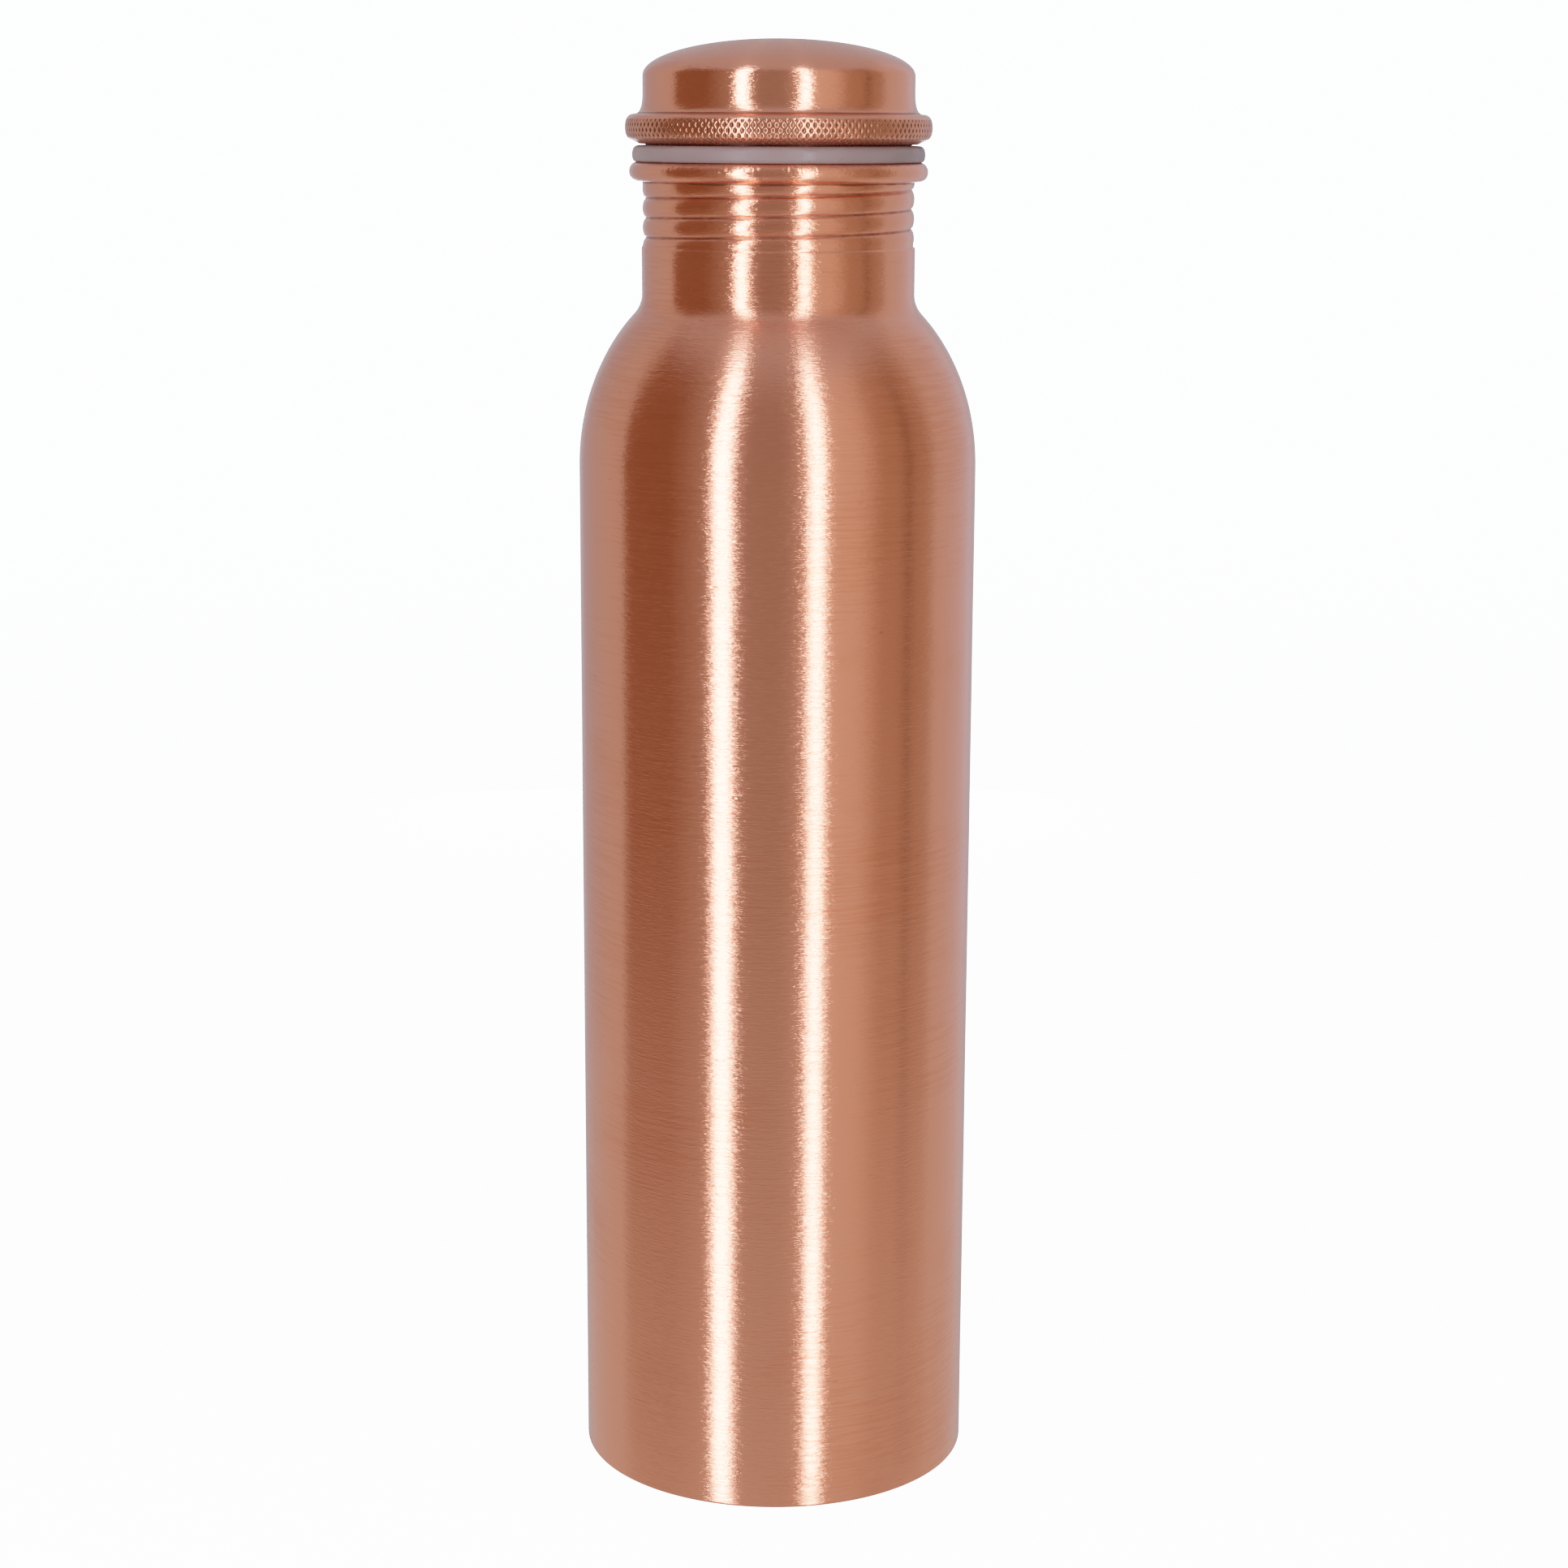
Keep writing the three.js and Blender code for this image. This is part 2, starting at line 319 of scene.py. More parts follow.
def finish_piece(piece, node, body, material):
    """Puts a piece in its CAD node's place."""
    piece.data.materials.append(material)
    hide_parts(node)
    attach(piece, body)


# Relief -------------------------------------------------------------------------------------------


def thread_relief(thread, theta, height, notch_shape, bottom, runout):
    """Depth of a right-hand single-start thread. The groove's height rises one pitch in each turn. From
    the middle of the ridge the surface falls as a parabola to the groove, where a notch goes deeper; the
    notch's shape is how far from its middle its floor and its slope end. Both ends of the thread fade.
    Returns the depth and how far into the notch a point is."""
    above_mouth = height - MOUTH_Z
    turns = (above_mouth - thread.phase) / thread.pitch - theta / TURN
    away = np.abs(turns - np.round(turns)) * thread.pitch
    fall = (1 - away / (thread.pitch / 2)) ** 2
    inside = 1 - smooth(away, *notch_shape)
    window = smooth(above_mouth, bottom, bottom + runout)
    window = window * (1 - smooth(above_mouth, thread.top - thread.runout, thread.top))
    return window * (thread.crown * fall + thread.notch * inside), window * inside


def ripple(theta, height, amount):
    """Slow waves round and up the wall, a sum of three products of cosines."""
    waves = (
        np.cos(2 * theta + 0.4) * np.cos(TURN * height / 0.067 + 1.0)
        + np.cos(3 * theta + 2.1) * np.cos(TURN * height / 0.041 + 0.3)
        + np.cos(5 * theta + 4.0) * np.cos(TURN * height / 0.029 + 2.2)
    )
    return amount * waves


def patches(theta, across, cells, tall, seed):
    """Uneven patches from -1 to 1: random values on a lattice that closes round the axis, cells round it
    and tall apart across it, eased from each to the next. The lattice repeats after 64 rows."""
    count = 64
    values = np.random.default_rng(seed).uniform(-1, 1, (count, cells))
    around, up = theta / TURN * cells, across / tall
    i, j = np.floor(around).astype(int), np.floor(up).astype(int)
    s, t = smooth(around - i, 0, 1), smooth(up - j, 0, 1)
    left, right = i % cells, (i + 1) % cells
    low, high = j % count, (j + 1) % count
    below = (1 - s) * values[low, left] + s * values[low, right]
    above = (1 - s) * values[high, left] + s * values[high, right]
    return (1 - t) * below + t * above


def knurl_relief(theta, run, cells, tall, depth, first, last):
    """Diamond knurl pressed into a band. Two families of ridges cross, one climbing and one falling a
    diamond's height in each diamond's width; between them each pit deepens with the distance to the
    nearer ridge. Returns the depth and how far down its pit a point is."""
    across = theta / TURN * cells
    up = (run - first) / tall
    to_ridge = [1 - np.abs(2 * np.mod(lean, 1) - 1) for lean in (across + up, across - up)]
    pit = smooth(np.minimum(*to_ridge), 0.3, 1.05)
    fade = 0.3 * MM
    window = smooth(run, first, first + fade) * (1 - smooth(run, last - fade, last))
    return window * depth * pit, window * pit


# Materials ----------------------------------------------------------------------------------------


class Wiring:
    """Adds nodes to one shader tree. An argument may be a number or another node's output."""

    def __init__(self, tree):
        self.tree = tree

    def add(self, kind, **settings):
        node = self.tree.nodes.new(kind)
        for key, value in settings.items():
            setattr(node, key, value)
        return node

    def feed(self, socket, value):
        if isinstance(value, bpy.types.NodeSocket):
            self.tree.links.new(value, socket)
        else:
            socket.default_value = value

    def math(self, operation, *values, clamp=False):
        node = self.add("ShaderNodeMath", operation=operation, use_clamp=clamp)
        for socket, value in zip(node.inputs, values):
            self.feed(socket, value)
        return node.outputs[0]

    def ramp(self, value, low, high, to_low=0.0, to_high=1.0):
        node = self.add("ShaderNodeMapRange", interpolation_type="SMOOTHSTEP")
        limits = {"From Min": low, "From Max": high, "To Min": to_low, "To Max": to_high}
        for name, setting in {"Value": value, **limits}.items():
            self.feed(node.inputs[name], setting)
        return node.outputs["Result"]

    def mix(self, factor, a, b, blend="MIX"):
        node = self.add("ShaderNodeMix", data_type="RGBA", blend_type=blend)
        self.feed(node.inputs[0], factor)
        self.feed(node.inputs[6], a)
        self.feed(node.inputs[7], b)
        return node.outputs[2]

    def vector(self, x, y, z):
        node = self.add("ShaderNodeCombineXYZ")
        for socket, value in zip(node.inputs, (x, y, z)):
            self.feed(socket, value)
        return node.outputs[0]

    def noise(self, vector, scale=1.0, detail=2.0, roughness=0.5, distortion=0.0):
        node = self.add("ShaderNodeTexNoise")
        self.feed(node.inputs["Vector"], vector)
        settings = {"Scale": scale, "Detail": detail, "Roughness": roughness, "Distortion": distortion}
        for name, setting in settings.items():
            self.feed(node.inputs[name], setting)
        return node.outputs["Fac"]

    def attribute(self, name):
        return self.add("ShaderNodeAttribute", attribute_name=name).outputs["Fac"]

    def object_place(self):
        return self.add("ShaderNodeTexCoord").outputs["Object"]

    def round_axis(self, along_scale, around_scale, shift=0.0):
        """Coordinates for a pattern that runs round the axis: the unit direction from the axis times
        around_scale, and the distance along the section times along_scale."""
        parts = self.add("ShaderNodeSeparateXYZ")
        self.feed(parts.inputs[0], self.object_place())
        x, y = parts.outputs[0], parts.outputs[1]
        radius = self.math("SQRT", self.math("ADD", self.math("MULTIPLY", x, x), self.math("MULTIPLY", y, y)))
        radius = self.math("MAXIMUM", radius, 1e-5)
        scale = self.math("DIVIDE", around_scale, radius)
        run = self.math("MULTIPLY_ADD", self.attribute("along"), along_scale, shift)
        return self.vector(self.math("MULTIPLY", x, scale), self.math("MULTIPLY", y, scale), run)


def new_material(name):
    """An empty material, and the wiring of its tree."""
    material = bpy.data.materials.new(name)
    material.use_nodes = True
    material.node_tree.nodes.clear()
    return material, Wiring(material.node_tree)


def finish_material(w, shader):
    w.feed(w.add("ShaderNodeOutputMaterial").inputs["Surface"], shader.outputs[0])


def effect_group(name, inputs, outputs):
    """An empty shader node group with number inputs, and its input and output nodes."""
    tree = bpy.data.node_groups.new(name, "ShaderNodeTree")
    for title, default in inputs:
        socket = tree.interface.new_socket(name=title, in_out="INPUT", socket_type="NodeSocketFloat")
        socket.default_value = default
    for title in outputs:
        tree.interface.new_socket(name=title, in_out="OUTPUT", socket_type="NodeSocketFloat")
    wiring = Wiring(tree)
    return wiring, wiring.add("NodeGroupInput").outputs, wiring.add("NodeGroupOutput").inputs


def make_brushing():
    """Lines left by brushing round the axis: noise stretched round the axis and squeezed along the
    section. The fine set has short strokes standing out of it, and the broad set comes and goes."""
    w, given, out = effect_group(
        "Brushing", [("Fine Spacing", 0.00026), ("Broad Spacing", 0.00045), ("Reach", 3.0)], ["Fine", "Broad"]
    )
    fine = w.round_axis(w.math("DIVIDE", 1.0, given["Fine Spacing"]), w.math("MULTIPLY", given["Reach"], 6.5))
    hair = w.noise(fine, detail=3.0, roughness=0.6)
    stroke_scale = w.math("DIVIDE", 0.85, given["Fine Spacing"])
    strokes = w.round_axis(stroke_scale, w.math("MULTIPLY", given["Reach"], 6.0), 57.0)
    strokes = w.ramp(w.noise(strokes, detail=2.0, roughness=0.6), 0.46, 0.72, 0.0, 0.29)
    w.feed(out["Fine"], w.math("MULTIPLY_ADD", hair, 0.7, strokes))
    broad = w.round_axis(w.math("DIVIDE", 1.0, given["Broad Spacing"]), given["Reach"], 31.0)
    patch = w.noise(w.object_place(), scale=28.0, detail=1.0)
    lines = w.noise(broad, detail=3.0, roughness=0.6)
    w.feed(out["Broad"], w.math("MULTIPLY", lines, w.ramp(patch, 0.3, 0.7, 0.4, 1.0)))
    return w.tree


def make_tarnish():
    """Soft cloudy darkening, drawn out a little round the axis."""
    w, given, out = effect_group("Tarnish", [("Scale", 22.0), ("Cover", 0.5)], ["Mask"])
    slow = w.noise(w.object_place(), scale=given["Scale"], detail=4.0, roughness=0.55, distortion=0.4)
    smeared = w.noise(w.round_axis(90.0, 1.6, 7.0), detail=3.0, roughness=0.6)
    both = w.math("ADD", w.math("MULTIPLY", slow, 0.6), w.math("MULTIPLY", smeared, 0.4))
    low = w.math("SUBTRACT", 0.72, w.math("MULTIPLY", given["Cover"], 0.4))
    w.feed(out["Mask"], w.ramp(both, low, w.math("ADD", low, 0.22)))
    return w.tree


def make_marks():
    """Small dents, pinholes and short scuffs, scattered thinly: the cores of some cells of a cell pattern."""
    w, given, out = effect_group("Handling Marks", [("Cells", 700.0), ("Share", 0.12)], ["Mask"])
    cells = w.add("ShaderNodeTexVoronoi", feature="F1", distance="EUCLIDEAN")
    w.feed(cells.inputs["Vector"], w.round_axis(given["Cells"], w.math("MULTIPLY", given["Cells"], 0.014)))
    w.feed(cells.inputs["Scale"], 1.0)
    chosen = w.add("ShaderNodeSeparateColor")
    w.feed(chosen.inputs[0], cells.outputs["Color"])
    picked = w.math("LESS_THAN", chosen.outputs[0], given["Share"])
    size = w.math("MULTIPLY_ADD", chosen.outputs[1], 0.25, 0.1)
    core = w.ramp(cells.outputs["Distance"], w.math("MULTIPLY", size, 0.3), size, 1.0, 0.0)
    w.feed(out["Mask"], w.math("MULTIPLY", core, picked))
    return w.tree


def make_oxide_and_shade():
    """Darkening read from the recess attribute and broken up by noise: oxide that has settled in recesses,
    and painted shade in grooves, pits, corners and under the mouth bead.
    """
    w, given, out = effect_group("Recess Oxide And Shade", [("Spread", 0.5)], ["Mask"])
    broken = w.noise(w.object_place(), scale=420.0, detail=3.0, roughness=0.6)
    deep = w.math("ADD", w.attribute("recess"), w.math("MULTIPLY", w.math("SUBTRACT", broken, 0.5), 0.5))
    low = w.math("SUBTRACT", 1.0, given["Spread"])
    w.feed(out["Mask"], w.ramp(deep, low, w.math("ADD", low, 0.5)))
    return w.tree


def effect(w, tree, **values):
    """Places a shared effect in a material, with its own values."""
    node = w.add("ShaderNodeGroup", node_tree=tree)
    for title, value in values.items():
        node.inputs[title.replace("_", " ")].default_value = value
    return node.outputs


def effect_trees():
    """The shared effects, each built once."""
    makers = {
        "Brushing": make_brushing,
        "Tarnish": make_tarnish,
        "Handling Marks": make_marks,
        "Recess Oxide And Shade": make_oxide_and_shade,
    }
    return {title: bpy.data.node_groups.get(title) or make() for title, make in makers.items()}


# oxide sets how far the recess darkening spreads, and that darkening carries painted shade as well as oxide.
def copper(name, look, polish=0.0, cover=0.5, marks=0.03, oxide=0.5, bump=0.7):
    """Brushed copper: clean and handled colour by cloudy tarnish, oxide and painted shade in recesses, a
    satin gloss that varies with the brushing, and fine relief from the brushing and the marks."""
    material, w = new_material(name)
    trees = effect_trees()
    lines = effect(w, trees["Brushing"])
    tarnish = effect(w, trees["Tarnish"], Cover=cover)["Mask"]
    dents = effect(w, trees["Handling Marks"], Share=marks)["Mask"]
    oxide_and_shade = effect(w, trees["Recess Oxide And Shade"], Spread=oxide)["Mask"]

    shader = w.add("ShaderNodeBsdfPrincipled")
    clean = w.mix(w.math("MULTIPLY", tarnish, 0.55), (*look.bright, 1), (*look.warm, 1))
    streaked = w.mix(w.ramp(lines["Broad"], 0.35, 0.65, 0.0, 0.6), clean, (*look.warm, 1))
    # Painted shade and oxide: the recess mask mixes the colour towards the dark colour in grooves, pits,
    # corners and under the bead.
    shaded_and_oxidised = w.mix(w.math("MULTIPLY", oxide_and_shade, 0.75), streaked, (*look.dark, 1))
    w.feed(shader.inputs["Base Color"], w.mix(w.math("MULTIPLY", dents, 0.2), shaded_and_oxidised, (*look.dark, 1)))
    rough = w.math("MULTIPLY_ADD", tarnish, 0.05, look.roughness - polish)
    rough = w.math("ADD", rough, w.math("MULTIPLY", w.math("SUBTRACT", lines["Fine"], 0.5), 0.16))
    rough = w.math("ADD", rough, w.math("MULTIPLY", oxide_and_shade, 0.18), clamp=True)
    w.feed(shader.inputs["Roughness"], rough)
    w.feed(shader.inputs["Metallic"], 1.0)
    w.feed(shader.inputs["Anisotropic"], look.brushing)
    w.feed(shader.inputs["Anisotropic Rotation"], 0.25)
    tangent = w.add("ShaderNodeTangent", direction_type="RADIAL", axis="Z")
    w.feed(shader.inputs["Tangent"], tangent.outputs[0])
    height = w.math("ADD", lines["Fine"], w.math("MULTIPLY", lines["Broad"], 0.8))
    height = w.math("SUBTRACT", height, w.math("MULTIPLY", dents, 0.4))
    relief = w.add("ShaderNodeBump")
    w.feed(relief.inputs["Strength"], bump)
    w.feed(relief.inputs["Distance"], 0.062 * MM)
    w.feed(relief.inputs["Height"], height)
    w.feed(shader.inputs["Normal"], relief.outputs[0])
    finish_material(w, shader)
    return material


def silicone(name, look):
    """Milky moulded silicone: soft light from inside, a faint mottling and dust in its gloss."""
    material, w = new_material(name)
    shader = w.add("ShaderNodeBsdfPrincipled")
    mottle = w.noise(w.object_place(), scale=260.0, detail=3.0, roughness=0.6)
    cloudy = w.noise(w.object_place(), scale=60.0, detail=2.0)
    pale = tuple(min(1.0, 1.12 * c) for c in look.silicone)
    dusty = tuple(0.86 * c for c in look.silicone)
    w.feed(shader.inputs["Base Color"], w.mix(w.ramp(cloudy, 0.3, 0.7), (*dusty, 1), (*pale, 1)))
    w.feed(shader.inputs["Roughness"], w.ramp(mottle, 0.3, 0.7, 0.26, 0.44))
    w.feed(shader.inputs["Subsurface Weight"], 0.35)
    w.feed(shader.inputs["Subsurface Radius"], (1.0, 0.9, 0.9))
    w.feed(shader.inputs["Subsurface Scale"], 1.2 * MM)
    w.feed(shader.inputs["IOR"], 1.43)
    relief = w.add("ShaderNodeBump")
    w.feed(relief.inputs["Strength"], 0.25)
    w.feed(relief.inputs["Distance"], 0.03 * MM)
    w.feed(relief.inputs["Height"], mottle)
    w.feed(shader.inputs["Normal"], relief.outputs[0])
    finish_material(w, shader)
    return material


# Pieces -------------------------------------------------------------------------------------------

ROUND = 160  # points round an ordinary ring

# Half-widths of a thread notch's floor and of its whole, pressed by the roller on one face of the sheet
# and rounder on the other.
NECK_OUTER_NOTCH = (0.06 * MM, 0.50 * MM)
NECK_INNER_NOTCH = (0.45 * MM, 0.95 * MM)
PLUG_OUTER_NOTCH = (0.60 * MM, 1.15 * MM)
PLUG_INNER_NOTCH = (0.90 * MM, 1.50 * MM)


def wall_line(sizes, thread):
    """Centreline of the wall: fold under the foot, straight wall, elliptical shoulder, a fillet tangent to
    shoulder and neck, the neck with rows close enough for the thread, and the curl of the mouth."""
    half = sizes.sheet / 2
    wall = WALL_HIGH.x - half
    neck = sizes.neck_radius - half
    crest = sizes.crest_radius - half
    fold = 0.4 * MM
    step = 0.8 * MM
    row_height = 0.09 * MM
    centre = (WALL_HIGH.x - sizes.shoulder_reach, sizes.shoulder_start)
    reach = sizes.shoulder_reach - half
    rise = sizes.shoulder_rise - half
    end_angle = math.asin((sizes.shoulder_end - sizes.shoulder_start) / rise)
    end = (centre[0] + reach * math.cos(end_angle), sizes.shoulder_end)
    slope = reach * math.sin(end_angle) / (rise * math.cos(end_angle))
    lean = math.atan(slope)
    fillet = (end[0] - neck) / (1 - math.cos(lean))
    fillet_centre = (neck + fillet, sizes.shoulder_end + fillet * math.sin(lean))
    step_top = sizes.neck_step + step
    thread_end = MOUTH_Z + thread.top
    curl_reach = (sizes.mouth_radius - sizes.crest_radius) / 2
    curl_rise = sizes.curl_height / 2 - half
    curl_centre = (crest + curl_reach, MOUTH_Z - sizes.curl_height / 2)
    rows = round((thread_end - step_top) / row_height)
    return joined(
        straight((sizes.fold_edge, half), (wall - fold, half), 3),
        bend((wall - fold, half), (wall, half), (wall, half + fold), 6),
        straight((wall, half + fold), (wall, sizes.shoulder_start), 24),
        ellipse(centre, reach, rise, 0, math.degrees(end_angle), 30),
        ellipse(fillet_centre, fillet, fillet, 180 + math.degrees(lean), 180, 10),
        straight((neck, fillet_centre[1]), (neck, sizes.neck_step), 3),
        bend((neck, sizes.neck_step), (crest, sizes.neck_step + step / 2), (crest, step_top), 6),
        straight((crest, step_top), (crest, thread_end), rows),
        straight((crest, thread_end), (crest, curl_centre[1]), 4),
        ellipse(curl_centre, curl_reach, curl_rise, 180, -115, 34),
    )


def build_wall(sizes, thread, material):
    """The wall, with its rolled thread, its slight waves, the bead's hammered grain, a painted shadow in a
    line under the bead and painted shade with oxide in the thread's grooves. The rings of the bead are finer,
    to carry the grain."""
    outline, _, side = sheet_outline(wall_line(sizes, thread), sizes.sheet)
    ends = (thread.bottom, thread.runout)
    waves_start, waves_stop = (3 * MM, 15 * MM), (215 * MM, 222 * MM)
    grain_start = (MOUTH_Z - 2.1 * MM, MOUTH_Z - 1.2 * MM)
    grain_depth = 0.024 * MM
    shadow_edge = MOUTH_Z - 3.85 * MM
    shadow_waver, shadow_blur = 0.12 * MM, 0.3 * MM

    def relief(theta, radius, height, run, outward, ring):
        outside = outward[:, 0] > 0
        on_wall = radius < sizes.crest_radius + 0.1 * MM
        # in_notch also darkens the thread's grooves through the recess mask: oxide, and painted shade.
        depth_out, in_notch = thread_relief(thread, theta, height, NECK_OUTER_NOTCH, *ends)
        depth_in, _ = thread_relief(thread, theta, height, NECK_INNER_NOTCH, *ends)
        rolled = np.where(outside, -depth_out, depth_in) * on_wall

        waves = ripple(theta, height, sizes.ripple) * np.where(outside, 1, -1)
        waves = waves * smooth(height, *waves_start) * (1 - smooth(height, *waves_stop))

        grain = patches(theta, run, 440, 0.36 * MM, 5) + 0.35 * patches(theta, run, 230, 0.6 * MM, 9)
        hammered = grain_depth * smooth(height, *grain_start) * outside * grain

        # Painted shadow: a wavering dark line on the neck just under the mouth bead, where the bead's shadow
        # and the gap behind it fall.
        edge = shadow_edge + shadow_waver * patches(theta, run, 60, 4 * MM, 3)
        shadow_under_bead = smooth(height - edge, -shadow_blur, shadow_blur) * on_wall
        return rolled + hammered + waves, np.maximum(0.85 * in_notch, shadow_under_bead) * outside

    counts = np.where((side >= 0) & (outline[:, 1] > MOUTH_Z - 2.4 * MM), 6 * ROUND, ROUND)
    piece = turned("bottle_wall", outline, counts, relief)
    finish_piece(piece, "body_shell", "bottle", material)


def build_base(sizes, material):
    """The base plate: a shallow dome, a cove down to a flat rim that clears the fold, and faint
    spinning rings."""
    half = sizes.sheet / 2
    gap = 0.05 * MM
    ring_step, ring_depth = 1.9 * MM, 0.004 * MM
    top_z = PLATE_HIGH.z - half
    rim_z = sizes.sheet + half + gap
    dome_edge = (28 * MM, 3.5 * MM)
    cove_middle = (30.1 * MM, (dome_edge[1] + rim_z) / 2)
    flat_start = (32.2 * MM, rim_z)
    line = joined(
        bend((0, top_z), (14.5 * MM, top_z), dome_edge, 60),
        bend(dome_edge, (29 * MM, dome_edge[1]), cove_middle, 10),
        bend(cove_middle, (31.2 * MM, rim_z), flat_start, 10),
        straight(flat_start, (PLATE_HIGH.x, rim_z), 4),
    )
    outline = sheet_outline(line, sizes.sheet)[0]
    counts = np.full(len(outline), ROUND)
    counts[[0, -1]] = 1

    def relief(theta, radius, height, run, outward, ring):
        rings = ring_depth * np.cos(TURN * radius / ring_step) * smooth(radius, 0, 3 * MM)
        # The underside darkens towards the fold's edge, through the recess mask.
        crevice = smooth(radius, flat_start[0] + 0.1 * MM, sizes.fold_edge + 0.1 * MM) * (outward[:, 1] < 0)
        return rings * (1 - smooth(radius, dome_edge[0] - 1 * MM, dome_edge[0])), crevice

    piece = turned("base_dish", outline, counts, relief)
    finish_piece(piece, "base_plate", "bottle", material)


def from_mouth(radius, height):
    """A point of a section whose height is counted from the mouth."""
    return (radius, MOUTH_Z + height)


def build_cap(sheet, lid, material):
    """The lid's outer shell, with the knurl as real relief on rings fine enough to carry it, painted shade in
    the corner where the flare meets the grip bead, and darkening over the knurl that is oxide and painted
    shade in its pits."""
    points_across, rings_up = 12, 11  # to one diamond of the knurl
    corner_width = 0.5 * MM
    half = sheet / 2
    side = lid.side_radius - half
    bead = CAP_HIGH.x - half
    top = lid.bead_top - half
    dome = from_mouth(0, CAP_HIGH.z - MOUTH_Z - lid.dome_rise)
    foot = from_mouth(side + lid.flare_width, top)
    middle = from_mouth(bead, lid.bead_middle)
    hem_outer = from_mouth(*lid.hem_outer)
    hem_inner = from_mouth(*lid.hem_inner)
    upper = joined(
        ellipse(dome, side, lid.dome_rise - half, 90, 0, 40),
        straight((side, dome[1]), from_mouth(side, lid.flare_top), 4),
        bend(from_mouth(side, lid.flare_top), from_mouth(side, top), foot, 16),
    )
    knurled = joined(
        bend(foot, from_mouth(bead, top), middle, 60),
        bend(middle, from_mouth(bead, 4.6 * MM), hem_outer, 60),
        straight(hem_outer, hem_inner, 40),
    )
    knurled = even(knurled, lid.knurl_height / rings_up)
    line = joined(upper, knurled)
    knurl_from = len(line) - len(knurled)
    outline, source, face = sheet_outline(line, sheet)
    below_bead_top = outline[:, 1] < MOUTH_Z + lid.bead_top - 0.8 * MM
    in_band = (outline[:, 0] > side + 0.7 * MM) & below_bead_top
    fine = (face == 1) & (source >= knurl_from) & in_band
    counts = np.where(fine, points_across * lid.knurl_cells, 2 * lid.knurl_cells)
    counts[[0, -1]] = 1
    run_at = distances(outline)
    first, last = run_at[fine].min(), run_at[fine].max()
    corner = np.array(foot) + (-0.4 * MM, half)
    corner_at = run_at[np.argmin(np.linalg.norm(outline - corner, axis=1))]

    def relief(theta, radius, height, run, outward, ring):
        depth, pit = knurl_relief(theta, run, lid.knurl_cells, lid.knurl_height, lid.knurl_depth, first, last)
        # Painted shade: the concave corner between the flare and the grip bead is darkened, to hide the red
        # of light bouncing in it.
        corner_shade = 0.95 * np.exp(-((run - corner_at) / corner_width) ** 2)
        outside = face[ring] == 1
        # The knurl is darkened a little all over and more in its pits: oxide, and painted shade in the pits.
        knurl_oxide_and_shade = np.where(fine[ring], 0.45 + 0.85 * pit, 0)
        return -depth * outside, np.maximum(knurl_oxide_and_shade, corner_shade) * outside

    piece = turned("lid_shell", outline, counts, relief)
    finish_piece(piece, "lid_cap", "lid", material)


def build_plug(sizes, thread, lid, material):
    """The threaded cup inside the lid, with its flange lying on the cap's hem."""
    sheet, half = sizes.sheet, sizes.sheet / 2
    clearance, hem_gap = 0.25 * MM, 0.12 * MM
    row_height = 0.11 * MM
    wall = sizes.crest_radius - sheet - clearance - half
    floor = PLUG_LOW.z + half
    corner = 1.5 * MM
    hem_outer, hem_inner = np.array(lid.hem_outer), np.array(lid.hem_inner)
    hem = (hem_outer - hem_inner) / np.linalg.norm(hem_outer - hem_inner)
    flange_start = hem_inner + np.array([-hem[1], hem[0]]) * (sheet + hem_gap)
    flange_end = flange_start + hem * (PLUG_HIGH.x - half - flange_start[0]) / hem[0]
    corner_z = flange_start[1] - (flange_start[0] - wall) * hem[1] / hem[0]
    top = MOUTH_Z + thread.top
    rows = round((top - floor - corner) / row_height)
    turn_start = from_mouth(wall, corner_z - 1 * MM)
    line = joined(
        straight((0, floor), (wall - corner, floor), 30),
        bend((wall - corner, floor), (wall, floor), (wall, floor + corner), 14),
        straight((wall, floor + corner), (wall, top), rows),
        straight((wall, top), turn_start, 6),
        bend(turn_start, from_mouth(wall, corner_z), from_mouth(*flange_start), 8),
        straight(from_mouth(*flange_start), from_mouth(*flange_end), 4),
    )
    outline = sheet_outline(line, sheet)[0]
    counts = np.full(len(outline), ROUND)
    counts[[0, -1]] = 1
    ends = (PLUG_LOW.z - MOUTH_Z + 0.2 * MM, 0.8 * MM)

    def relief(theta, radius, height, run, outward, ring):
        outside = outward[:, 0] > 0
        on_wall = radius > wall - corner
        depth_out, groove = thread_relief(thread, theta, height, PLUG_OUTER_NOTCH, *ends)
        depth_in, _ = thread_relief(thread, theta, height, PLUG_INNER_NOTCH, *ends)
        # The outside grooves darken through the recess mask: oxide, and painted shade.
        return np.where(outside, -depth_out, depth_in) * on_wall, 0.6 * groove * on_wall * outside

    piece = turned("lid_cup", outline, counts, relief)
    finish_piece(piece, "lid_plug", "lid", material)


